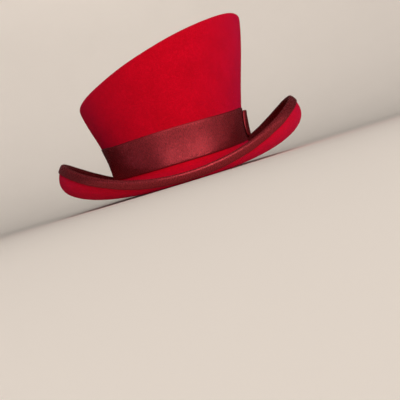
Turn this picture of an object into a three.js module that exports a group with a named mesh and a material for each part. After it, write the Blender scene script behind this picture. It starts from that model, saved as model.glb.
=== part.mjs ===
import * as THREE from 'three';

// A wool felt top hat. Millimetres, +Z up, the front of the hat towards -Y, the wearer's left towards +X.
// Z = 0 is the surface that the hat rests on, right side up, on the dips at the front and back of its brim.
// Every ring of the hat follows the head oval: a section through the felt is drawn as points of
// (outward distance from the oval, height), and each angle round the hat has its own section.

// Felt
const FELT_THICKNESS = 2.2;
const OVAL_WIDTH = 154.5; // side to side, at the middle of the felt
const OVAL_LENGTH = 200; // front to back

// Crown
const ROOT_HEIGHT_FRONT = 23; // where the crown meets the brim
const ROOT_HEIGHT_SIDE = 29;
const TIP_HEIGHT = 138.5; // middle of the flat top
const TIP_SLANT = THREE.MathUtils.degToRad(14); // the tip rises towards the wearer's left
const WAIST_HEIGHT = 12; // the wall is upright up to here, and flares above it
const FLARE = 22.5; // mean outward reach of the tip's edge
const FLARE_LEAN = 7.5; // more on the tall side, less on the low side
const TIP_CORNER = 4; // length of the rounding along the tip and along the wall
const ROOT_CORNER = 3.5;

// Brim: how far out and how high its edge stands, how steeply it leaves the crown and how far it rolls
const BRIM_REACH_FRONT = 49;
const BRIM_REACH_SIDE = 54.5;
const BRIM_REACH_LEAN = 4; // further on the tall side, less on the low side
const EDGE_HEIGHT_FRONT = 15;
const EDGE_HEIGHT_SIDE = 64;
const BRIM_FALL_FRONT = THREE.MathUtils.degToRad(-40);
const BRIM_FALL_SIDE = THREE.MathUtils.degToRad(-18);
const BRIM_ROLL_FRONT = THREE.MathUtils.degToRad(45);
const BRIM_ROLL_SIDE = THREE.MathUtils.degToRad(134);
const BRIM_ROOT_PULL_FRONT = 26; // how far the first direction carries
const BRIM_ROOT_PULL_SIDE = 40;
const BRIM_EDGE_PULL_FRONT = 18; // how far the last direction carries back
const BRIM_EDGE_PULL_SIDE = 41;
const BRIM_LATENESS = 4; // how long the brim stays low on its way round to the side
const REST_FLATTENING = 1.5; // the felt is pressed flat by this much where it rests
const PRESSED_FELT = 1.5; // its thickness there
const EDGE_ROUNDING = 0.6;

// Ribbon
const RIBBON_THICKNESS = 0.9;
const RIBBON_GAP = 0.3; // between a ribbon and what it lies on
const BAND_HEIGHT = 36;
const BINDING_GAP = 0.5; // between the binding and the felt that it folds over
const BINDING_COVER = 8; // on each face of the brim

// Bow, centred on the wearer's left
const BOW_GAP = 0.42;
const BOW_LOOP_LENGTH = 27;
const BOW_LOOP_HEIGHT = 28;
const BOW_LOOP_THICKNESS = 3.6;
const BOW_KNOT_LENGTH = 13;
const BOW_KNOT_HEIGHT = 30;
const BOW_KNOT_THICKNESS = 4.8;
const BOW_WAIST_HEIGHT = 20; // of a loop where it leaves the knot
const BOW_EDGE_THINNING = 0.45;
const BOW_MIDDLE = BAND_HEIGHT / 2 - 1; // above the band's lower edge

// Fineness
const SEGMENTS = 60;
const TIP_RINGS = 3;
const CORNER_STEPS = 3;
const BAND_STEPS = 4;
const WALL_STEPS = 4;
const BRIM_STEPS = 7;
const BINDING_STEPS = 2;
const LOOP_STEPS = 6;
const KNOT_STEPS = 4;
const PAD_ROWS = 4;

const HALF_FELT = FELT_THICKNESS / 2;
const BINDING_FACE = HALF_FELT + BINDING_GAP + RIBBON_THICKNESS;
const tipSlope = Math.tan(TIP_SLANT);
const tipNormal = new THREE.Vector3(-tipSlope, 0, 1).normalize();

// A point on the oval at this angle, moved outward square to the oval.
function onOval(angle, outward, height) {
  const halfWidth = OVAL_WIDTH / 2;
  const halfLength = OVAL_LENGTH / 2;
  const normal = new THREE.Vector2(halfLength * Math.cos(angle), halfWidth * Math.sin(angle)).normalize();
  return new THREE.Vector3(
    halfWidth * Math.cos(angle) + normal.x * outward,
    halfLength * Math.sin(angle) + normal.y * outward,
    height,
  );
}

// A size that changes smoothly from the front and back of the hat to its sides. The edge rises evenly;
// the felt inside it stays low round the front and back, and rises late.
function between(front, side, angle, lateness = 2) {
  return THREE.MathUtils.lerp(front, side, Math.abs(Math.cos(angle)) ** lateness);
}

function rootHeight(angle) {
  return between(ROOT_HEIGHT_FRONT, ROOT_HEIGHT_SIDE, angle, BRIM_LATENESS);
}

function flareReach(angle) {
  return FLARE + FLARE_LEAN * Math.cos(angle);
}

// Height of the sharp corner that the wall and the tip would make without their rounding.
function cornerHeight(angle) {
  return TIP_HEIGHT + tipSlope * onOval(angle, flareReach(angle), 0).x;
}

// The wall's middle line at a height above the root: upright to the waist, then an easy bell flare.
function wallPoint(angle, rise) {
  const full = cornerHeight(angle) - rootHeight(angle);
  const part = Math.max(0, (rise - WAIST_HEIGHT) / (full - WAIST_HEIGHT));
  return new THREE.Vector2(flareReach(angle) * part ** 2 * (2.5 - 1.5 * part), rootHeight(angle) + rise);
}

function direction(turn) {
  return new THREE.Vector2(Math.cos(turn), Math.sin(turn));
}

// The brim's middle line, from the end of its root corner to the edge.
function brimCurve(angle) {
  const root = new THREE.Vector2(0, rootHeight(angle));
  const fall = direction(between(BRIM_FALL_FRONT, BRIM_FALL_SIDE, angle, BRIM_LATENESS));
  const roll = direction(between(BRIM_ROLL_FRONT, BRIM_ROLL_SIDE, angle));
  const start = root.clone().addScaledVector(fall, ROOT_CORNER);
  const edge = new THREE.Vector2(
    between(BRIM_REACH_FRONT, BRIM_REACH_SIDE, angle) + BRIM_REACH_LEAN * Math.cos(angle),
    between(EDGE_HEIGHT_FRONT, EDGE_HEIGHT_SIDE, angle),
  );
  const rootPull = between(BRIM_ROOT_PULL_FRONT, BRIM_ROOT_PULL_SIDE, angle, BRIM_LATENESS);
  const edgePull = between(BRIM_EDGE_PULL_FRONT, BRIM_EDGE_PULL_SIDE, angle);
  return new THREE.CubicBezierCurve(
    start,
    start.clone().addScaledVector(fall, rootPull),
    edge.clone().addScaledVector(roll, -edgePull),
    edge,
  );
}

// A station is a point of the felt's middle line and the way its outer face looks there.
function station(point, along) {
  return { point, normal: new THREE.Vector2(-along.y, along.x).normalize(), along: along.clone().normalize() };
}

function roundedCorner(from, corner, to, steps) {
  const curve = new THREE.QuadraticBezierCurve(from, corner, to);
  const stations = [];
  for (let step = 0; step <= steps; step += 1) {
    stations.push(station(curve.getPoint(step / steps), curve.getTangent(step / steps)));
  }
  return stations;
}

function tipCorner(angle) {
  const corner = new THREE.Vector2(flareReach(angle), cornerHeight(angle));
  const across = onOval(angle, 1, 0).sub(onOval(angle, 0, 0));
  const tipWay = new THREE.Vector2(1, tipSlope * across.x).normalize();
  const full = cornerHeight(angle) - rootHeight(angle);
  const wallTop = wallPoint(angle, full - TIP_CORNER);
  return roundedCorner(corner.clone().addScaledVector(tipWay, -TIP_CORNER), corner, wallTop, CORNER_STEPS);
}

// Stations down the wall. Those that lie under the band come last, from its top to its lower edge.
function wallStations(angle) {
  const full = cornerHeight(angle) - rootHeight(angle);
  const top = full - TIP_CORNER;
  const bandTop = ROOT_CORNER + BAND_HEIGHT;
  const rises = [];
  for (let step = 1; step < WALL_STEPS; step += 1) {
    rises.push(THREE.MathUtils.lerp(top, bandTop, step / WALL_STEPS));
  }
  for (let step = 0; step < BAND_STEPS; step += 1) {
    rises.push(THREE.MathUtils.lerp(bandTop, ROOT_CORNER, step / BAND_STEPS));
  }
  return rises.map((rise) => {
    const along = wallPoint(angle, rise - 0.5).sub(wallPoint(angle, rise + 0.5));
    return station(wallPoint(angle, rise), along);
  });
}

function rootCorner(angle) {
  const brim = brimCurve(angle);
  const corner = new THREE.Vector2(0, rootHeight(angle));
  return roundedCorner(wallPoint(angle, ROOT_CORNER), corner, brim.v0, CORNER_STEPS);
}

function brimStations(angle) {
  const brim = brimCurve(angle);
  const length = brim.getLength();
  const bare = (length - BINDING_COVER) / length;
  const shares = [];
  for (let step = 1; step <= BRIM_STEPS; step += 1) {
    shares.push((bare * step) / BRIM_STEPS);
  }
  for (let step = 1; step <= BINDING_STEPS; step += 1) {
    shares.push(THREE.MathUtils.lerp(bare, 1, step / BINDING_STEPS));
  }
  return shares.map((share) => station(brim.getPointAt(share), brim.getTangentAt(share)));
}

// The felt's stations at one angle, from the start of the tip's corner to the brim's edge.
function feltStations(angle) {
  return [...tipCorner(angle), ...wallStations(angle), ...rootCorner(angle), ...brimStations(angle)];
}

// A point beside a station: outward from the felt's middle, and past it along the felt.
function beside({ point, normal, along }, outward, past = 0) {
  return point.clone().addScaledVector(normal, outward).addScaledVector(along, past);
}

// The height that brings the lowest underside of the front to the resting surface, less its flattening.
const restLevel = REST_FLATTENING
  + Math.min(...feltStations(-Math.PI / 2).map((place) => beside(place, -HALF_FELT).y));

// The brim reaches further on the tall side, so the oval stands off the middle of the overall width.
function widest(angle) {
  return Math.max(...brimStations(angle).slice(-BINDING_STEPS - 3).map((place) => beside(place, -BINDING_FACE).x));
}
const ovalShift = (widest(Math.PI) - widest(0)) / 2;

function placed(angle, { x: outward, y: height }) {
  return onOval(angle, outward, height - restLevel).add(new THREE.Vector3(ovalShift, 0, 0));
}

// Turns a ring of round sections into the hat's own: each angle gets the points of its own section.
function shapedRing(sectionAt) {
  const count = sectionAt(0).length;
  const plain = Array.from({ length: count }, (_, index) => new THREE.Vector2(1, index));
  const ring = new THREE.LatheGeometry(plain, SEGMENTS);
  for (let segment = 0; segment <= SEGMENTS; segment += 1) {
    const angle = (-2 * Math.PI * (segment % SEGMENTS)) / SEGMENTS;
    sectionAt(angle).forEach((point, index) => {
      ring.attributes.position.setXYZ(segment * count + index, point.x, point.y, point.z);
    });
  }
  ring.computeVertexNormals();
  return ring;
}

function tipRings(angle, rim, side) {
  const middle = new THREE.Vector3(ovalShift, 0, TIP_HEIGHT - restLevel).addScaledVector(tipNormal, side * HALF_FELT);
  return Array.from({ length: TIP_RINGS }, (_, ring) => middle.clone().lerp(rim, ring / TIP_RINGS));
}

function feltSection(angle) {
  const stations = feltStations(angle);
  const outer = stations.map((place) => placed(angle, beside(place, HALF_FELT)));
  const inner = stations.map((place) => placed(angle, beside(place, -HALF_FELT)));
  inner.forEach((point) => point.setZ(Math.max(0, point.z)));
  outer.forEach((point) => point.setZ(Math.max(PRESSED_FELT, point.z)));
  const edge = placed(angle, beside(stations[stations.length - 1], 0, EDGE_ROUNDING));
  const above = tipRings(angle, outer[0], 1);
  const below = tipRings(angle, inner[0], -1);
  return [...above, ...outer, edge, ...inner.reverse(), ...below.reverse()];
}

function bandSection(angle) {
  const under = [...wallStations(angle).slice(-BAND_STEPS), rootCorner(angle)[0]];
  const inner = under.map((place) => beside(place, HALF_FELT + RIBBON_GAP));
  const outer = under.map((place) => beside(place, HALF_FELT + RIBBON_GAP + RIBBON_THICKNESS));
  return [...outer, ...inner.reverse(), outer[0]].map((point) => placed(angle, point));
}

function bindingSection(angle) {
  const covered = brimStations(angle).slice(-BINDING_STEPS - 1);
  const edge = covered.at(-1);
  const near = HALF_FELT + BINDING_GAP;
  const far = BINDING_FACE;
  const tuck = EDGE_ROUNDING + BINDING_GAP;
  const outside = [
    ...covered.map((place) => beside(place, far)),
    beside(edge, near * 0.6, tuck + RIBBON_THICKNESS * 0.7),
    beside(edge, -near * 0.6, tuck + RIBBON_THICKNESS * 0.7),
    ...covered.map((place) => beside(place, -far)).reverse(),
  ];
  const inside = [
    ...covered.map((place) => beside(place, -near)),
    beside(edge, 0, tuck + 0.05),
    ...covered.map((place) => beside(place, near)).reverse(),
  ];
  return [...outside, ...inside, outside[0]].map((point) => placed(angle, point));
}

// A point off the band's outer face: distance round the hat from its left side towards the back, rise
// above the band's lower edge, and distance out from the ribbon.
function offBand(round, rise, out) {
  const angle = round / (OVAL_LENGTH / 2);
  const place = wallPoint(angle, ROOT_CORNER + rise);
  return placed(angle, place.setX(place.x + HALF_FELT + RIBBON_GAP + RIBBON_THICKNESS + out));
}

// A pad of folded ribbon lying on the band. Its height and thickness change along its length.
function ribbonPad(start, length, steps, heightAt, thicknessAt) {
  const pad = new THREE.BoxGeometry(1, 1, 1, steps, 1, PAD_ROWS);
  const { position } = pad.attributes;
  for (let index = 0; index < position.count; index += 1) {
    const along = position.getX(index) + 0.5;
    const up = position.getZ(index);
    const outer = position.getY(index) < 0;
    const swell = 1 - BOW_EDGE_THINNING * (2 * up) ** 4;
    const rise = BOW_MIDDLE + up * heightAt(along);
    const out = BOW_GAP + (outer ? thicknessAt(along) * swell : 0);
    const point = offBand(start + along * length, rise, out);
    position.setXYZ(index, point.x, point.y, point.z);
  }
  pad.computeVertexNormals();
  return pad;
}

// One loop of the bow: narrow and thin at the knot, full in its middle, closed to a fold at its end.
// The side is 1 towards the back of the hat and -1 towards its front.
function bowLoop(side) {
  const start = side * (BOW_KNOT_LENGTH / 2 + RIBBON_GAP);
  const fromKnot = (along) => (side > 0 ? along : 1 - along);
  const heightAt = (along) => THREE.MathUtils.lerp(
    BOW_WAIST_HEIGHT,
    BOW_LOOP_HEIGHT,
    Math.sin((Math.PI / 2) * fromKnot(along)),
  );
  const thicknessAt = (along) => {
    const full = Math.sin(Math.PI * THREE.MathUtils.lerp(0.15, 0.9, fromKnot(along)));
    return BOW_LOOP_THICKNESS * full;
  };
  return ribbonPad(side > 0 ? start : start - BOW_LOOP_LENGTH, BOW_LOOP_LENGTH, LOOP_STEPS, heightAt, thicknessAt);
}

function bowKnot() {
  const thicknessAt = (along) => BOW_KNOT_THICKNESS * (1 - BOW_EDGE_THINNING * (2 * along - 1) ** 4);
  return ribbonPad(-BOW_KNOT_LENGTH / 2, BOW_KNOT_LENGTH, KNOT_STEPS, () => BOW_KNOT_HEIGHT, thicknessAt);
}

const wool = new THREE.MeshStandardMaterial({ color: 0xb00f24, roughness: 0.95, metalness: 0 });
const ribbon = new THREE.MeshStandardMaterial({ color: 0x4a0d14, roughness: 0.45, metalness: 0 });

function piece(name, geometry, material) {
  const mesh = new THREE.Mesh(geometry, material);
  mesh.name = name;
  return mesh;
}

const hat = new THREE.Group();
hat.add(piece('felt_body', shapedRing(feltSection), wool));
hat.add(piece('hatband', shapedRing(bandSection), ribbon));
hat.add(piece('brim_binding', shapedRing(bindingSection), ribbon));
hat.add(piece('bow_loop_front', bowLoop(-1), ribbon));
hat.add(piece('bow_loop_back', bowLoop(1), ribbon));
hat.add(piece('bow_knot', bowKnot(), ribbon));

export default hat;
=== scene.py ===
"""A wool top hat: felt body, ribbon band with a side bow, and ribbon-bound brim, on a pale studio sweep.

All sizes are in metres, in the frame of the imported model: +Z up, the hat's front towards -Y, and the
wearer's left towards +X.
"""
import sys
import logging
import math
from dataclasses import dataclass, field
from enum import Enum
from typing import Callable, Optional, Sequence, Union

import bmesh
import bpy
from mathutils import Matrix, Vector, noise
from mathutils.bvhtree import BVHTree


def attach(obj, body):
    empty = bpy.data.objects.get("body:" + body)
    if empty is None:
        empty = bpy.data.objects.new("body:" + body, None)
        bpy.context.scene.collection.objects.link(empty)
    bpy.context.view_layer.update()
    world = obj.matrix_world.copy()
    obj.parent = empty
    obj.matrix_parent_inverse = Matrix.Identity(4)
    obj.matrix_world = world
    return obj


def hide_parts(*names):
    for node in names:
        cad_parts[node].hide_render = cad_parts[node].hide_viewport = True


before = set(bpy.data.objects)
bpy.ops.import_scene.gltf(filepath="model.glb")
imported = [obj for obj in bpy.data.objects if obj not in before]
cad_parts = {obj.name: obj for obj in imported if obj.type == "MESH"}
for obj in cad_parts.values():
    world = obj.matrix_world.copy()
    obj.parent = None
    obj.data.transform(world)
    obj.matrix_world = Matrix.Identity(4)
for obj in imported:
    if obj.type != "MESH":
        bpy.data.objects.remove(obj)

LOG = logging.getLogger("top_hat")
BODY = "root"
MERGE = 1e-5
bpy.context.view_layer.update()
HAT = (0.0, 0.0, 0.08)
WARM = (1.0, 0.94, 0.88)

Colour = tuple[float, float, float, float]


class Slot(Enum):
    """The record's material slots."""

    FELT = "wool_felt"
    RIBBON = "ribbon"


class Weave(Enum):
    """How a ribbon's surface is woven, as the share of its relief that comes from cross ribs."""

    GROSGRAIN = 1.0
    PETERSHAM = 0.6


# --------------------------------------------------------------------------------------------------
# Shader graphs
# --------------------------------------------------------------------------------------------------
class Value:
    """A shader socket that can be added, multiplied and so on with numbers and other sockets."""

    def __init__(self, graph: "Graph", socket: Optional[bpy.types.NodeSocket]) -> None:
        """Wraps one output socket of a graph's node, or none where the node has no output."""
        self.graph = graph
        self.socket = socket

    def _math(self, operation: str, *others: object, swap: bool = False) -> "Value":
        """Adds a Math node.

        Args:
            operation: the node's operation.
            others: the other operands.
            swap: puts the first of the others before this value.

        Returns:
            The node's result.
        """
        operands = [self, *others]
        if swap:
            operands[0], operands[1] = operands[1], operands[0]
        inputs = dict(enumerate(operands))
        return self.graph.add("ShaderNodeMath", {"operation": operation}, inputs)

    def __add__(self, other: object) -> "Value":
        """This plus other."""
        return self._math("ADD", other)

    def __radd__(self, other: object) -> "Value":
        """Other plus this."""
        return self._math("ADD", other)

    def __sub__(self, other: object) -> "Value":
        """This minus other."""
        return self._math("SUBTRACT", other)

    def __rsub__(self, other: object) -> "Value":
        """Other minus this."""
        return self._math("SUBTRACT", other, swap=True)

    def __mul__(self, other: object) -> "Value":
        """This times other."""
        return self._math("MULTIPLY", other)

    def __rmul__(self, other: object) -> "Value":
        """Other times this."""
        return self._math("MULTIPLY", other)

    def sine(self) -> "Value":
        """The sine of this."""
        return self._math("SINE")

    def absolute(self) -> "Value":
        """This without its sign."""
        return self._math("ABSOLUTE")

    def within(self, low: float, high: float) -> "Value":
        """Where this lies from low to high, as a smooth 0 to 1.

        Args:
            low: the value that gives 0.
            high: the value that gives 1.

        Returns:
            The smooth share.
        """
        settings = {"interpolation_type": "SMOOTHSTEP"}
        inputs = {"Value": self, "From Min": low, "From Max": high}
        return self.graph.add("ShaderNodeMapRange", settings, inputs)


class Graph:
    """A node tree that is built from one method."""

    def __init__(self, tree: bpy.types.NodeTree) -> None:
        """Starts over in an empty tree."""
        self.tree = tree
        self.tree.nodes.clear()

    def add(
        self, kind: str, settings: Optional[dict[str, object]] = None,
        inputs: Optional[dict[Union[str, int], object]] = None, output: Union[str, int] = 0,
    ) -> Value:
        """Adds a node, sets it up and connects it.

        Args:
            kind: the node's type.
            settings: the node's own properties, set before its sockets.
            inputs: the values or links of its sockets, by name or number.
            output: the output that is handed back.

        Returns:
            The chosen output.
        """
        node = self.tree.nodes.new(kind)
        for key, value in (settings or {}).items():
            setattr(node, key, value)
        for key, value in (inputs or {}).items():
            if isinstance(value, Value):
                self.tree.links.new(value.socket, node.inputs[key])
            else:
                node.inputs[key].default_value = value
        return self.output_of(node, output)

    def output_of(self, node: bpy.types.Node, output: Union[str, int]) -> Value:
        """One output of a node, as a value."""
        return Value(self, node.outputs[output] if node.outputs else None)


class Finish(Graph):
    """The node graph of one material, ending in a Principled BSDF."""

    def __init__(self, name: str) -> None:
        """Starts an empty material of that name."""
        self.material = bpy.data.materials.new(name)
        self.material.use_nodes = True
        super().__init__(self.material.node_tree)

    def position(self) -> Value:
        """The place on the piece, in metres."""
        return self.add("ShaderNodeTexCoord", output="Object")

    def along_and_across(self) -> tuple[Value, Value]:
        """How far along and across the ribbon the place is, in metres, from the piece's UV map."""
        uv = self.add("ShaderNodeTexCoord", output="UV")
        along = self.add("ShaderNodeSeparateXYZ", inputs={0: uv})
        return along, self.output_of(along.socket.node, 1)

    def noise(
        self, place: Value, scale: float, detail: float = 2.0, rough: float = 0.5, twist: float = 0.0,
    ) -> Value:
        """Noise from 0 to 1.

        Args:
            place: where it is read.
            scale: how many patches in a metre.
            detail: how many finer layers are laid over it.
            rough: how strong those are.
            twist: how much the pattern is stirred.

        Returns:
            The noise.
        """
        values = {"Vector": place, "Scale": scale, "Detail": detail, "Roughness": rough, "Distortion": twist}
        return self.add("ShaderNodeTexNoise", inputs=values)

    def mix(self, share: object, low: object, high: object) -> Value:
        """A colour between two others.

        Args:
            share: 0 for low, 1 for high.
            low: the first colour.
            high: the second colour.

        Returns:
            The mixed colour.
        """
        return self.add("ShaderNodeMix", {"data_type": "RGBA"}, {0: share, 6: low, 7: high}, output=2)

    def bump(self, height: Value, depth: float, under: Optional[Value] = None) -> Value:
        """Relief.

        Args:
            height: its height, from 0 to 1.
            depth: how deep it is, in metres.
            under: another relief that it is laid over.

        Returns:
            The bent normal.
        """
        inputs: dict[Union[str, int], object] = {"Height": height, "Distance": depth, "Strength": 1.0}
        if under is not None:
            inputs["Normal"] = under
        return self.add("ShaderNodeBump", inputs=inputs)

    def seal(self, **sockets: object) -> bpy.types.Material:
        """Ends the graph in its shader.

        Args:
            sockets: the Principled BSDF's sockets, with _ for a space.

        Returns:
            The finished material.
        """
        named = {key.replace("_", " "): value for key, value in sockets.items()}
        shader = self.add("ShaderNodeBsdfPrincipled", inputs=named)
        self.add("ShaderNodeOutputMaterial", inputs={"Surface": shader})
        return self.material


# --------------------------------------------------------------------------------------------------
# Finishes
# --------------------------------------------------------------------------------------------------
@dataclass(frozen=True)
class WoolFelt:
    """Pressed wool felt: matt, a little mottled, with short fibres that catch light at grazing angles, and
    painted shade and highlight in the hollows and on the crests of its nap.
    """

    deep: Colour = (0.52, 0.0002, 0.0090, 1.0)
    bright: Colour = (0.60, 0.0003, 0.0120, 1.0)
    # fibre: the painted highlight colour of the raised fibres
    fibre: Colour = (0.80, 0.0040, 0.0360, 1.0)
    shadow: Colour = (0.26, 0.0001, 0.0060, 1.0)
    mottle_scale: float = 45.0
    fibre_scale: float = 1400.0
    nap_scale: float = 520.0
    relief: float = 0.0006

    def material(self) -> bpy.types.Material:
        """Builds the felt."""
        graph = Finish("wool_felt_red")
        place = graph.position()
        mottle = graph.noise(place, self.mottle_scale, 3.0, 0.6)
        nap = graph.noise(place, self.nap_scale, 4.0, 0.7, 1.2)
        fibre = graph.noise(place, self.fibre_scale, 2.0, 0.6, 3.0)
        body = graph.mix(mottle.within(0.25, 0.75), self.deep, self.bright)
        # painted shade: the felt darkens towards the shadow colour in the hollows of the nap relief
        nap_hollow_shade = graph.mix(nap.within(0.62, 0.38) * 0.30, body, self.shadow)
        # painted highlight: the felt lightens towards the fibre colour on the crests of the fibre and nap
        # relief
        raised_fibre_highlight = fibre.within(0.54, 0.74) * 0.32 + nap.within(0.52, 0.74) * 0.22
        colour = graph.mix(raised_fibre_highlight, nap_hollow_shade, self.fibre)
        relief = graph.bump(nap, self.relief)
        relief = graph.bump(fibre, self.relief * 0.5, relief)
        return graph.seal(
            Base_Color=colour, Roughness=0.95, Normal=relief, Specular_IOR_Level=0.07,
            Sheen_Weight=0.24, Sheen_Roughness=0.42, Sheen_Tint=(0.50, 0.02, 0.26, 1.0),
        )


@dataclass(frozen=True)
class Ribbon:
    """Woven ribbon: fine ribs across its length, a soft sheen, and rougher edges; its colour carries painted
    sheen on the rib crests and in streaks and patches, and painted shade along its edges.
    """

    name: str
    width: float
    weave: Weave
    # shade and sheen: the shaded and the lit copy of the ribbon's colour, between which its painted sheen
    # runs
    shade: Colour = (0.125, 0.004, 0.008, 1.0)
    sheen: Colour = (0.400, 0.048, 0.060, 1.0)
    rib_pitch: float = 0.0009
    thread_scale: float = 1300.0
    slub_scale: float = 380.0
    relief: float = 0.00010

    def material(self) -> bpy.types.Material:
        """Builds the ribbon."""
        graph = Finish(self.name)
        along, across = graph.along_and_across()
        place = graph.position()
        ribs = (along * (2 * math.pi / self.rib_pitch)).sine() * 0.5 + 0.5
        picks = (across * (2 * math.pi / (self.rib_pitch * 0.55))).sine() * 0.5 + 0.5
        threads = {0: along * self.thread_scale, 1: across * self.slub_scale}
        thread = graph.add("ShaderNodeCombineXYZ", inputs=threads)
        slub = graph.noise(thread, 1.0, 3.0, 0.6)
        sheen_patches = graph.noise(place, 60.0, 2.0, 0.5)
        edge = (across - self.width / 2).absolute().within(self.width / 2 - 0.0016, self.width / 2 - 0.0006)
        # painted sheen: the colour runs from the shaded copy to the lit one, lighter on the rib crests and in
        # random slub streaks and patches
        body = graph.mix(ribs * 0.45 + slub * 0.40 + sheen_patches * 0.20, self.shade, self.sheen)
        # painted shade: the colour darkens towards the shaded copy along both edges of the ribbon
        colour = graph.mix(edge * 0.45, body, self.shade)
        relief = graph.bump(ribs * self.weave.value + picks * 0.25, self.relief)
        relief = graph.bump(slub, self.relief * 1.2, relief)
        rough = 0.22 + slub * 0.11 + edge * 0.10
        return graph.seal(
            Base_Color=colour, Roughness=rough, Metallic=0.70, Normal=relief, Specular_IOR_Level=0.22,
            Specular_Tint=(0.35, 0.06, 0.08, 1.0), Sheen_Weight=0.06, Sheen_Roughness=0.35,
            Sheen_Tint=(0.8, 0.25, 0.30, 1.0),
        )


@dataclass(frozen=True)
class Paper:
    """The matt sweep that the hat stands on."""

    tone: Colour = (0.92, 0.86, 0.80, 1.0)

    def material(self) -> bpy.types.Material:
        """Builds the paper."""
        graph = Finish("studio_paper")
        grain = graph.noise(graph.position(), 9.0, 2.0, 0.5)
        darker = tuple(part * 0.97 for part in self.tone[:3]) + (1.0,)
        tone = graph.mix(grain, darker, self.tone)
        return graph.seal(Base_Color=tone, Roughness=0.9, Specular_IOR_Level=0.2)


# --------------------------------------------------------------------------------------------------
# The workbench
# --------------------------------------------------------------------------------------------------
class Bench:
    """The modelling steps that the pieces share."""

    @classmethod
    def pick(cls, piece: bpy.types.Object) -> None:
        """Makes one object the only one selected, and active."""
        bpy.ops.object.select_all(action="DESELECT")
        piece.select_set(True)
        bpy.context.view_layer.objects.active = piece

    @classmethod
    def cage_of(cls, node: str, name: str) -> bpy.types.Object:
        """Copies a CAD node as a merged cage.

        Args:
            node: the CAD node.
            name: the new object's name.

        Returns:
            The cage.
        """
        cage = bpy.data.objects.new(name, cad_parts[node].data.copy())
        bpy.context.scene.collection.objects.link(cage)
        cage.data.materials.clear()
        cls.pick(cage)
        bpy.ops.object.mode_set(mode="EDIT")
        bpy.ops.mesh.select_all(action="SELECT")
        bpy.ops.mesh.remove_doubles(threshold=MERGE)
        bpy.ops.object.mode_set(mode="OBJECT")
        return cage

    @classmethod
    def to_quads(cls, cage: bpy.types.Object) -> None:
        """Joins a cage's triangles into the four-sided faces that they were cut from."""
        cls.pick(cage)
        bpy.ops.object.mode_set(mode="EDIT")
        bpy.ops.mesh.select_all(action="SELECT")
        bpy.ops.mesh.tris_convert_to_quads(face_threshold=math.radians(70), shape_threshold=math.radians(70))
        bpy.ops.object.mode_set(mode="OBJECT")

    @classmethod
    def delete_where(cls, piece: bpy.types.Object, unwanted: Callable[[Vector], bool]) -> None:
        """Deletes the vertices that a test picks by their place."""
        cls.pick(piece)
        bpy.ops.object.mode_set(mode="EDIT")
        bpy.ops.mesh.select_mode(type="VERT")
        bpy.ops.mesh.select_all(action="DESELECT")
        bpy.ops.object.mode_set(mode="OBJECT")
        for vertex in piece.data.vertices:
            vertex.select = unwanted(vertex.co)
        bpy.ops.object.mode_set(mode="EDIT")
        bpy.ops.mesh.delete(type="VERT")
        bpy.ops.object.mode_set(mode="OBJECT")

    @classmethod
    def modify(cls, piece: bpy.types.Object, kind: str, **settings: object) -> None:
        """Adds a modifier with those settings and applies it."""
        cls.pick(piece)
        modifier = piece.modifiers.new(kind.lower(), kind)
        for key, value in settings.items():
            setattr(modifier, key, value)
        bpy.ops.object.modifier_apply(modifier=modifier.name)

    @classmethod
    def subdivide(cls, piece: bpy.types.Object, levels: int) -> None:
        """Smooths a cage by subdivision."""
        cls.modify(piece, "SUBSURF", levels=levels, render_levels=levels)

    @classmethod
    def thicken(cls, piece: bpy.types.Object, thickness: float, offset: float) -> None:
        """Gives a sheet its thickness, inwards at an offset of -1 and to both sides at 0."""
        cls.modify(piece, "SOLIDIFY", thickness=thickness, offset=offset, use_even_offset=True)

    @classmethod
    def smooth(cls, piece: bpy.types.Object, angle: float = math.radians(60)) -> None:
        """Shades a piece smooth, but for edges sharper than the angle."""
        cls.pick(piece)
        bpy.ops.object.shade_smooth_by_angle(angle=angle)

    @staticmethod
    def surface(piece: bpy.types.Object) -> BVHTree:
        """A finished piece's surface, to measure from and to lay things on."""
        return BVHTree.FromPolygons(
            [vertex.co for vertex in piece.data.vertices], [face.vertices for face in piece.data.polygons]
        )


def hand_in(piece: bpy.types.Object, slot: Slot, material: bpy.types.Material, *nodes: str) -> None:
    """Gives a finished piece its material and body, and hides the CAD nodes that it stands for.

    Args:
        piece: the finished piece.
        slot: not used.
        material: its material.
        nodes: the CAD nodes that it replaces.
    """
    piece.data.materials.clear()
    piece.data.materials.append(material)
    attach(piece, BODY)
    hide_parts(*nodes)
    LOG.info("%s: %d faces", piece.name, len(piece.data.polygons))


def smoothstep(low: float, high: float, value: float) -> float:
    """A soft 0 to 1 as the value goes from low to high."""
    part = min(1.0, max(0.0, (value - low) / (high - low)))
    return part * part * (3.0 - 2.0 * part)


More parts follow.
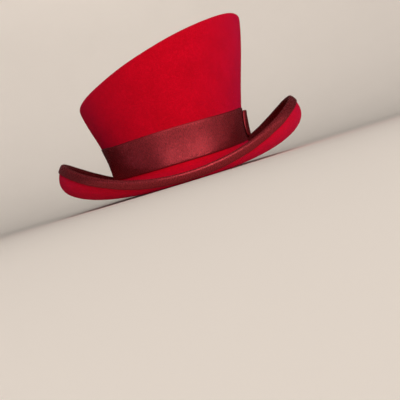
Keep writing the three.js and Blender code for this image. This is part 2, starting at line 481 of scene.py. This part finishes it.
@dataclass
class HoopLayout:
    """Lays out a closed hoop of ribbon, so that every vertex knows its place along and across it."""

    hoop: bpy.types.Object
    seam: float

    def __post_init__(self) -> None:
        """Walks the hoop from one edge to the other."""
        mesh = bmesh.new()
        mesh.from_mesh(self.hoop.data)
        self.along: dict[int, float] = {}
        self.across: dict[int, float] = {}
        ring = self._first_ring(mesh)
        while ring:
            ring = self._next_ring(ring)
        mesh.free()

    def _first_ring(self, mesh: bmesh.types.BMesh) -> list[bmesh.types.BMVert]:
        """Measures round the lower edge of the hoop, from the seam."""
        rims: list[list[bmesh.types.BMVert]] = []
        left = {vertex for vertex in mesh.verts if vertex.is_boundary}
        while left:
            ring = [left.pop()]
            while ring[-1] is not None:
                steps = (edge.other_vert(ring[-1]) for edge in ring[-1].link_edges if edge.is_boundary)
                ring.append(next((vertex for vertex in steps if vertex in left), None))
                left.discard(ring[-1])
            rims.append(ring[:-1])
        ring = min(rims, key=lambda rim: sum(vertex.co.z for vertex in rim) / len(rim))
        turn = {vertex: (math.atan2(vertex.co.y, vertex.co.x) - self.seam) % (2 * math.pi) for vertex in ring}
        ring.sort(key=turn.get)
        length = 0.0
        for before, vertex in zip([ring[0], *ring], ring):
            length += (vertex.co - before.co).length
            self.along[vertex.index] = length
            self.across[vertex.index] = 0.0
        self.length = length + (ring[0].co - ring[-1].co).length
        return ring

    def _next_ring(self, ring: list[bmesh.types.BMVert]) -> list[bmesh.types.BMVert]:
        """Steps across the ribbon to the ring beyond this one."""
        beyond = []
        for vertex in ring:
            for edge in vertex.link_edges:
                other = edge.other_vert(vertex)
                if other.index not in self.along:
                    self.along[other.index] = self.along[vertex.index]
                    self.across[other.index] = self.across[vertex.index] + edge.calc_length()
                    beyond.append(other)
        return beyond

    @property
    def width(self) -> float:
        """How wide the ribbon is."""
        return sum(sorted(self.across.values())[-20:]) / 20

    def wander(self, reach: float, wave: float) -> None:
        """Lets both edges wander a little, as on a ribbon that is sewn by hand.

        Args:
            reach: how far an edge strays.
            wave: how long a stray is.
        """
        mesh = bmesh.new()
        mesh.from_mesh(self.hoop.data)
        mesh.verts.ensure_lookup_table()
        for vertex in mesh.verts:
            if vertex.is_boundary:
                inner = next(e.other_vert(vertex) for e in vertex.link_edges if not e.is_boundary)
                side = 5.0 if self.across[vertex.index] > 0.0 else 0.0
                stray = noise.noise(Vector((self.along[vertex.index] / wave, side, 0.0)))
                vertex.co += (vertex.co - inner.co).normalized() * stray * reach
        mesh.to_mesh(self.hoop.data)
        mesh.free()

    def mark(self) -> None:
        """Writes the layout into the hoop's UV map, in metres."""
        layer = self.hoop.data.uv_layers.new(name="ribbon")
        for face in self.hoop.data.polygons:
            starts = [self.along[corner] for corner in face.vertices]
            wraps = max(starts) - min(starts) > self.length / 2
            for loop, corner, start in zip(face.loop_indices, face.vertices, starts):
                shift = self.length if wraps and start < self.length / 2 else 0.0
                layer.data[loop].uv = (start + shift, self.across[corner])


# --------------------------------------------------------------------------------------------------
# The hat
# --------------------------------------------------------------------------------------------------
@dataclass(frozen=True)
class Wander:
    """The slight unevenness of a hand-blocked hat, which the felt and the ribbons on it share."""

    reach: float = 0.0007
    scale: float = 16.0
    still_below: float = 0.004
    free_above: float = 0.024
    fields: tuple[tuple[float, float, float], ...] = ((0.0, 0.0, 0.0), (31.7, 5.3, 0.0), (0.0, 47.1, 9.9))

    def apply(self, piece: bpy.types.Object) -> None:
        """Lets a piece wander a little, except where the hat rests, by one fixed noise for each axis."""
        fields = [Vector(shift) for shift in self.fields]
        for vertex in piece.data.vertices:
            free = smoothstep(self.still_below, self.free_above, vertex.co.z)
            spot = vertex.co * self.scale
            stray = Vector([noise.noise(spot + shift) for shift in fields])
            vertex.co += stray * self.reach * free


@dataclass
class FeltBody:
    """Crown, tip and brim, blocked from one hood of wool felt."""

    finish: WoolFelt = field(default_factory=WoolFelt)
    levels: int = 2

    def build(self) -> BVHTree:
        """Makes the felt body.

        Returns:
            Its surface.
        """
        felt = Bench.cage_of("felt_body", "felt_shell")
        Bench.to_quads(felt)
        Bench.subdivide(felt, self.levels)
        Wander().apply(felt)
        Bench.smooth(felt)
        hand_in(felt, Slot.FELT, self.finish.material(), "felt_body")
        return Bench.surface(felt)


@dataclass
class RibbonHoop:
    """A ribbon that goes all the way round the hat, on the outside of a CAD node."""

    node: str
    name: str
    weave: Weave
    seam: float
    thickness: float = 0.0008
    ripple: float = 0.00012
    ripple_length: float = 0.011
    ease: float = 0.00025
    skin_gap: float = 0.00085
    stray: float = 0.0004
    stray_length: float = 0.035

    def build(self) -> BVHTree:
        """Makes the ribbon.

        Returns:
            Its surface.
        """
        cage = Bench.cage_of("felt_body", "gauge")
        felt = Bench.surface(cage)
        bpy.data.objects.remove(cage)
        hoop = Bench.cage_of(self.node, self.name)
        Bench.delete_where(hoop, lambda place: felt.find_nearest(place)[3] < self.skin_gap)
        Bench.to_quads(hoop)
        layout = HoopLayout(hoop, self.seam)
        layout.mark()
        layout.wander(self.stray, self.stray_length)
        Bench.subdivide(hoop, 2)
        self._pucker(hoop, layout.width)
        Bench.thicken(hoop, self.thickness, -1.0)
        Bench.subdivide(hoop, 1)
        Wander().apply(hoop)
        Bench.smooth(hoop)
        finish = Ribbon(self.name, layout.width, self.weave)
        hand_in(hoop, Slot.RIBBON, finish.material(), self.node)
        layout.width
        return Bench.surface(hoop)

    def _pucker(self, hoop: bpy.types.Object, width: float) -> None:
        """Ripples the ribbon a little along its length, and draws its edges in."""
        place: dict[int, tuple[float, float]] = {}
        layer = hoop.data.uv_layers.active.data
        for face in hoop.data.polygons:
            for loop, corner in zip(face.loop_indices, face.vertices):
                place[corner] = tuple(layer[loop].uv)
        normals = {vertex.index: vertex.normal.copy() for vertex in hoop.data.vertices}
        for vertex in hoop.data.vertices:
            along, across = place[vertex.index]
            wave = noise.noise(Vector((along / self.ripple_length, across / 0.02, 3.0)))
            near_edge = abs(across / width - 0.5) * 2.0
            lift = wave * self.ripple * (0.4 + 0.6 * near_edge) - self.ease * near_edge ** 6
            vertex.co += normals[vertex.index] * lift


@dataclass
class RibbonStrip:
    """A length of ribbon laid by a rule that says where each point of it goes."""

    name: str
    length: float
    width: float
    node: str
    steps: int = 40
    rows: int = 20
    thickness: float = 0.0006

    def build(self, rule: Callable[[float, float], Vector], material: bpy.types.Material) -> None:
        """Lays the strip.

        Args:
            rule: gives the place for how far along and how far across, both in metres.
            material: the ribbon's material.
        """
        bpy.ops.object.select_all(action="DESELECT")
        bpy.ops.mesh.primitive_grid_add(
            x_subdivisions=self.steps, y_subdivisions=self.rows, size=1.0, calc_uvs=False,
        )
        strip = bpy.context.active_object
        strip.name = strip.data.name = self.name
        flat = [((v.co.x + 0.5) * self.length, (v.co.y + 0.5) * self.width) for v in strip.data.vertices]
        layer = strip.data.uv_layers.new(name="ribbon")
        for face in strip.data.polygons:
            for loop, corner in zip(face.loop_indices, face.vertices):
                layer.data[loop].uv = flat[corner]
        for vertex, (along, across) in zip(strip.data.vertices, flat):
            vertex.co = rule(along, across)
        Bench.thicken(strip, self.thickness, 0.0)
        Bench.subdivide(strip, 1)
        Bench.pick(strip)
        bpy.ops.object.mode_set(mode="EDIT")
        bpy.ops.mesh.select_all(action="SELECT")
        bpy.ops.mesh.normals_make_consistent(inside=False)
        bpy.ops.object.mode_set(mode="OBJECT")
        Bench.smooth(strip)
        hand_in(strip, Slot.RIBBON, material, self.node)
        self.width


@dataclass
class Path:
    """A smooth line through points, measured along its length."""

    points: Sequence[tuple[float, float]]

    def __post_init__(self) -> None:
        """Draws the line finely and measures it."""
        corners = [Vector((*point, 0.0)) for point in self.points]
        corners = [2 * corners[0] - corners[1], *corners, 2 * corners[-1] - corners[-2]]
        self._fine: list[Vector] = []
        for a, b, c, d in zip(corners, corners[1:], corners[2:], corners[3:]):
            for step in range(24):
                t = step / 24
                slope = (c - a) * 0.5 * t + (2 * a - 5 * b + 4 * c - d) * 0.5 * t * t
                self._fine.append(b + slope + (3 * b - a - 3 * c + d) * 0.5 * t ** 3)
        self._fine.append(corners[-2])
        self._reach = [0.0]
        for before, after in zip(self._fine, self._fine[1:]):
            self._reach.append(self._reach[-1] + (after - before).length)

    @property
    def length(self) -> float:
        """How long the line is."""
        return self._reach[-1]

    def at(self, distance: float) -> tuple[float, float]:
        """The point at a distance along the line."""
        beyond = (i for i, reach in enumerate(self._reach) if reach >= distance)
        spot = max(1, next(beyond, len(self._reach) - 1))
        low, high = self._reach[spot - 1], self._reach[spot]
        point = self._fine[spot - 1].lerp(self._fine[spot], (distance - low) / (high - low))
        return point.x, point.y


@dataclass
class SideBow:
    """The flat bow over the band's join, on the wearer's left: two loops and a knot."""

    band: BVHTree
    middle: float = 0.0424
    loop_reach: float = 0.0345
    loop_width: float = 0.0275
    knot_width: float = 0.0125
    knot_reach: float = 0.0148
    pinch: float = 0.66
    pleat: float = 0.0005
    pleat_length: float = 0.0062

    def build(self) -> None:
        """Makes the loops, then the knot over them."""
        loop_ribbon = Ribbon("ribbon_loop", self.loop_width, Weave.GROSGRAIN).material()
        self._loop("bow_loop_front", -1.0, loop_ribbon)
        self._loop("bow_loop_back", 1.0, loop_ribbon)
        self._knot(Ribbon("ribbon_knot", self.knot_width, Weave.GROSGRAIN).material())

    def _on_band(self, beside: float, above: float, lift: float) -> Vector:
        """A place on the band.

        Args:
            beside: how far from the bow's middle, towards the back of the hat.
            above: how far above the bow's middle.
            lift: how far off the ribbon of the band.

        Returns:
            The place.
        """
        start = Vector((0.2, beside, self.middle + above))
        hits = [self.band.ray_cast(start + Vector((0.0, step, 0.0)), Vector((-1.0, 0.0, 0.0)))[0]
                for step in (-0.002, 0.0, 0.002)]
        run = hits[2] - hits[0]
        off = Vector((run.y, -run.x, 0.0)).normalized()
        return hits[1] + off * lift

    def _loop(self, node: str, side: float, material: bpy.types.Material) -> None:
        """Folds one loop: out over the top, round the end, and back underneath."""
        reach = self.loop_reach
        path = Path([
            (0.0030, 0.0018), (0.0100, 0.0034), (0.0190, 0.0043), (reach - 0.0065, 0.0040),
            (reach - 0.0018, 0.0031), (reach, 0.0019), (reach - 0.0014, 0.0009),
            (reach - 0.0080, 0.0006), (0.0160, 0.0006), (0.0030, 0.0007),
        ])

        def rule(along: float, across: float) -> Vector:
            """Where a point of the loop's ribbon goes."""
            beside, lift = path.at(along)
            gather = self.pinch + (1 - self.pinch) * smoothstep(0.002, 0.019, beside)
            height = (across - self.loop_width / 2) * gather
            near_knot = 1.0 - smoothstep(0.006, 0.024, beside)
            fold = math.cos(2 * math.pi * height / self.pleat_length + 0.6)
            lift += self.pleat * near_knot * fold * smoothstep(0.0009, 0.0018, lift)
            off_middle = abs(height) / (self.loop_width / 2)
            round_end = 1.0 - 0.07 * off_middle ** 3 * smoothstep(0.02, reach, beside)
            return self._on_band(side * beside * round_end, height, lift)

        strip = RibbonStrip(node + "_ribbon", path.length, self.loop_width, node, steps=56, rows=22)
        strip.build(rule, material)

    def _knot(self, material: bpy.types.Material) -> None:
        """Wraps the knot over the loops, from below to above, with soft pleats down its length."""
        reach = self.knot_reach
        path = Path([
            (-reach, 0.0004), (-reach - 0.0003, 0.0016), (-reach + 0.0016, 0.0037), (-reach / 2, 0.0048),
            (0.0, 0.0050),
            (reach / 2, 0.0048), (reach - 0.0016, 0.0037), (reach + 0.0003, 0.0016), (reach, 0.0004),
        ])

        def rule(along: float, across: float) -> Vector:
            """Where a point of the knot's ribbon goes."""
            height, lift = path.at(along)
            middle = 1.0 - smoothstep(0.4 * reach, reach, abs(height))
            beside = (across - self.knot_width / 2) * (1.0 - 0.16 * middle)
            crown = 1.0 - (abs(beside) / (self.knot_width / 2)) ** 2
            fold = math.cos(2 * math.pi * beside / 0.0042 + 1.1 + 18.0 * height)
            lift += (0.0004 * fold - 0.0009 * (1.0 - crown)) * smoothstep(0.0012, 0.0036, lift)
            return self._on_band(beside, height, lift)

        strip = RibbonStrip("bow_knot_ribbon", path.length, self.knot_width, "bow_knot", steps=44, rows=24)
        strip.build(rule, material)


# --------------------------------------------------------------------------------------------------
# The studio
# --------------------------------------------------------------------------------------------------
@dataclass
class Sweep:
    """A round floor of paper whose rim curves up into a wall on every side."""

    radius: float = 1.95
    bend: float = 0.65
    height: float = 2.6
    sides: int = 96
    steps: int = 20
    paper: Paper = field(default_factory=Paper)

    def build(self) -> None:
        """Cuts the floor, and raises the wall from its rim."""
        material = self.paper.material()
        self._lay("paper_floor", "NGON", material)
        wall = self._lay("paper_wall", "NOTHING", material)
        wall.visible_shadow = wall.visible_diffuse = wall.visible_glossy = False
        bpy.ops.object.mode_set(mode="EDIT")
        bpy.ops.mesh.select_all(action="SELECT")
        reach = self.radius - self.bend
        for step in range(self.steps):
            low, high = (math.pi / 2 * part / self.steps for part in (step, step + 1))
            rise = Vector((0.0, 0.0, math.cos(low) - math.cos(high))) * self.bend
            spread = (reach + self.bend * math.sin(high)) / (reach + self.bend * math.sin(low))
            bpy.ops.mesh.extrude_region_move(TRANSFORM_OT_translate={"value": rise})
            bpy.ops.transform.resize(value=(spread, spread, 1.0), center_override=(0.0, 0.0, 0.0))
        bpy.ops.mesh.extrude_region_move(TRANSFORM_OT_translate={"value": Vector((0.0, 0.0, self.height))})
        bpy.ops.object.mode_set(mode="OBJECT")
        bpy.ops.object.shade_smooth()

    def _lay(self, name: str, fill: str, material: bpy.types.Material) -> bpy.types.Object:
        """Lays one round sheet.

        Args:
            name: the sheet's name.
            fill: how its circle is filled.
            material: its material.

        Returns:
            The sheet.
        """
        bpy.ops.object.select_all(action="DESELECT")
        bpy.ops.mesh.primitive_circle_add(vertices=self.sides, radius=self.radius - self.bend, fill_type=fill)
        sheet = bpy.context.active_object
        sheet.name = sheet.data.name = name
        sheet.data.materials.append(material)
        return sheet


@dataclass(frozen=True)
class SoftLight:
    """One rectangular studio light, aimed at a point."""

    name: str
    place: tuple[float, float, float]
    aim: tuple[float, float, float]
    size: tuple[float, float]
    power: float
    colour: tuple[float, float, float]

    def build(self) -> None:
        """Hangs the light."""
        lamp = bpy.data.lights.new(self.name, "AREA")
        lamp.shape = "RECTANGLE"
        lamp.size, lamp.size_y = self.size
        lamp.energy = self.power
        lamp.color = self.colour
        holder = bpy.data.objects.new(self.name, lamp)
        bpy.context.scene.collection.objects.link(holder)
        holder.location = self.place
        holder.rotation_euler = (Vector(self.aim) - Vector(self.place)).to_track_quat("-Z", "Y").to_euler()
        holder.visible_camera = False


@dataclass
class Air:
    """The dim even light of the room, and the pale tone seen past the end of the paper."""

    sky: Colour = (1.0, 0.95, 0.90, 1.0)
    sky_strength: float = 0.11
    backdrop: Colour = (0.62, 0.56, 0.50, 1.0)

    def build(self) -> None:
        """Fills the room."""
        world = bpy.data.worlds.new("studio_air")
        world.use_nodes = True
        graph = Graph(world.node_tree)
        straight = graph.add("ShaderNodeLightPath", output="Is Camera Ray")
        dim = {"Color": self.sky, "Strength": self.sky_strength}
        lit = graph.add("ShaderNodeBackground", inputs=dim)
        seen = graph.add("ShaderNodeBackground", inputs={"Color": self.backdrop})
        both = graph.add("ShaderNodeMixShader", inputs={0: straight, 1: lit, 2: seen})
        graph.add("ShaderNodeOutputWorld", inputs={"Surface": both})
        bpy.context.scene.world = world


@dataclass
class Studio:
    """The sweep, the air and the lights."""

    lights: Sequence[SoftLight] = (
        SoftLight("front", (0.72, -2.82, 0.90), HAT, (1.3, 1.7), 69.0, WARM),
        SoftLight("right_near", (1.90, -1.40, 0.26), HAT, (0.42, 0.5), 5.6, WARM),
        SoftLight("right_far", (2.36, -0.30, 0.26), HAT, (0.42, 0.5), 4.2, WARM),
        SoftLight("left_low", (-2.00, -1.10, 0.18), HAT, (0.40, 0.34), 3.6, (0.90, 0.84, 1.0)),
        SoftLight("foreground", (0.0, -0.70, 1.10), (0.0, -0.70, 0.0), (1.6, 0.5), 2.2, WARM),
    )
    wash_count: int = 4
    wash_radius: float = 1.05
    wash_height: float = 1.25
    wash_size: tuple[float, float] = (1.5, 0.3)
    wash_power: float = 4.8
    wall_radius: float = 1.9
    wall_height: float = 0.32

    def build(self) -> None:
        """Sets up the studio."""
        Sweep().build()
        Air().build()
        for light in (*self.lights, *self._washes()):
            light.build()

    def _washes(self) -> list[SoftLight]:
        """The lights that hang in a ring round the hat and shine outwards, on the wall."""
        washes = []
        for side in range(self.wash_count):
            turn = 2 * math.pi * side / self.wash_count
            out = Vector((math.sin(turn), math.cos(turn), 0.0))
            place = (out.x * self.wash_radius, out.y * self.wash_radius, self.wash_height)
            aim = (out.x * self.wall_radius, out.y * self.wall_radius, self.wall_height)
            washes.append(SoftLight(f"wall_wash_{side}", place, aim, self.wash_size, self.wash_power, WARM))
        return washes


@dataclass
class Camera:
    """A camera low in front of the hat, rolled so that the hat tips to one side in the picture."""

    distance: float = 0.76
    height: float = 0.006
    azimuth: float = math.radians(1.0)
    roll: float = math.radians(17.0)
    sensor: float = 0.036
    metres_per_frame: float = 0.455
    aim: tuple[float, float, float] = (0.0, 0.0, 0.046)
    aim_in_frame: tuple[float, float] = (-0.0525, 0.147)

    def build(self) -> None:
        """Places the camera and makes it the scene's own."""
        aim = Vector(self.aim)
        level_distance = math.sqrt(self.distance ** 2 - (aim.z - self.height) ** 2)
        away = Vector((math.sin(self.azimuth), math.cos(self.azimuth), 0.0)) * level_distance
        place = Vector((-away.x, -away.y, self.height))
        forward = (aim - place).normalized()
        right = forward.cross(Vector((0.0, 0.0, 1.0))).normalized()
        level = Matrix((right, right.cross(forward), -forward)).transposed()
        beside_axis = Vector((*self.aim_in_frame, 0.0)) * self.metres_per_frame
        to_aim = beside_axis - Vector((0.0, 0.0, self.distance))
        swing = to_aim.rotation_difference(Vector((0.0, 0.0, -1.0))).to_matrix()
        rotation = level @ Matrix.Rotation(-self.roll, 3, "Z") @ swing
        lens = bpy.data.cameras.new("studio_camera")
        lens.lens = self.sensor * self.distance / self.metres_per_frame * 1000
        lens.sensor_width = self.sensor * 1000
        lens.clip_start = 0.01
        holder = bpy.data.objects.new("studio_camera", lens)
        bpy.context.scene.collection.objects.link(holder)
        holder.matrix_world = Matrix.Translation(place) @ rotation.to_4x4()
        bpy.context.scene.camera = holder
        bpy.context.scene.view_settings.view_transform = "Standard"


def main() -> None:
    """Builds the hat and the studio."""
    logging.basicConfig(level=logging.INFO, format="%(name)s %(message)s", stream=sys.stdout)
    FeltBody().build()
    RibbonHoop(
        "brim_binding", "edge_binding", Weave.PETERSHAM, seam=math.pi / 2, ripple=0.0004, stray=0.0011,
    ).build()
    band = RibbonHoop("hatband", "hatband_ribbon", Weave.GROSGRAIN, seam=0.0).build()
    SideBow(band).build()
    Studio().build()
    Camera().build()


if __name__ == "__main__":
    main()
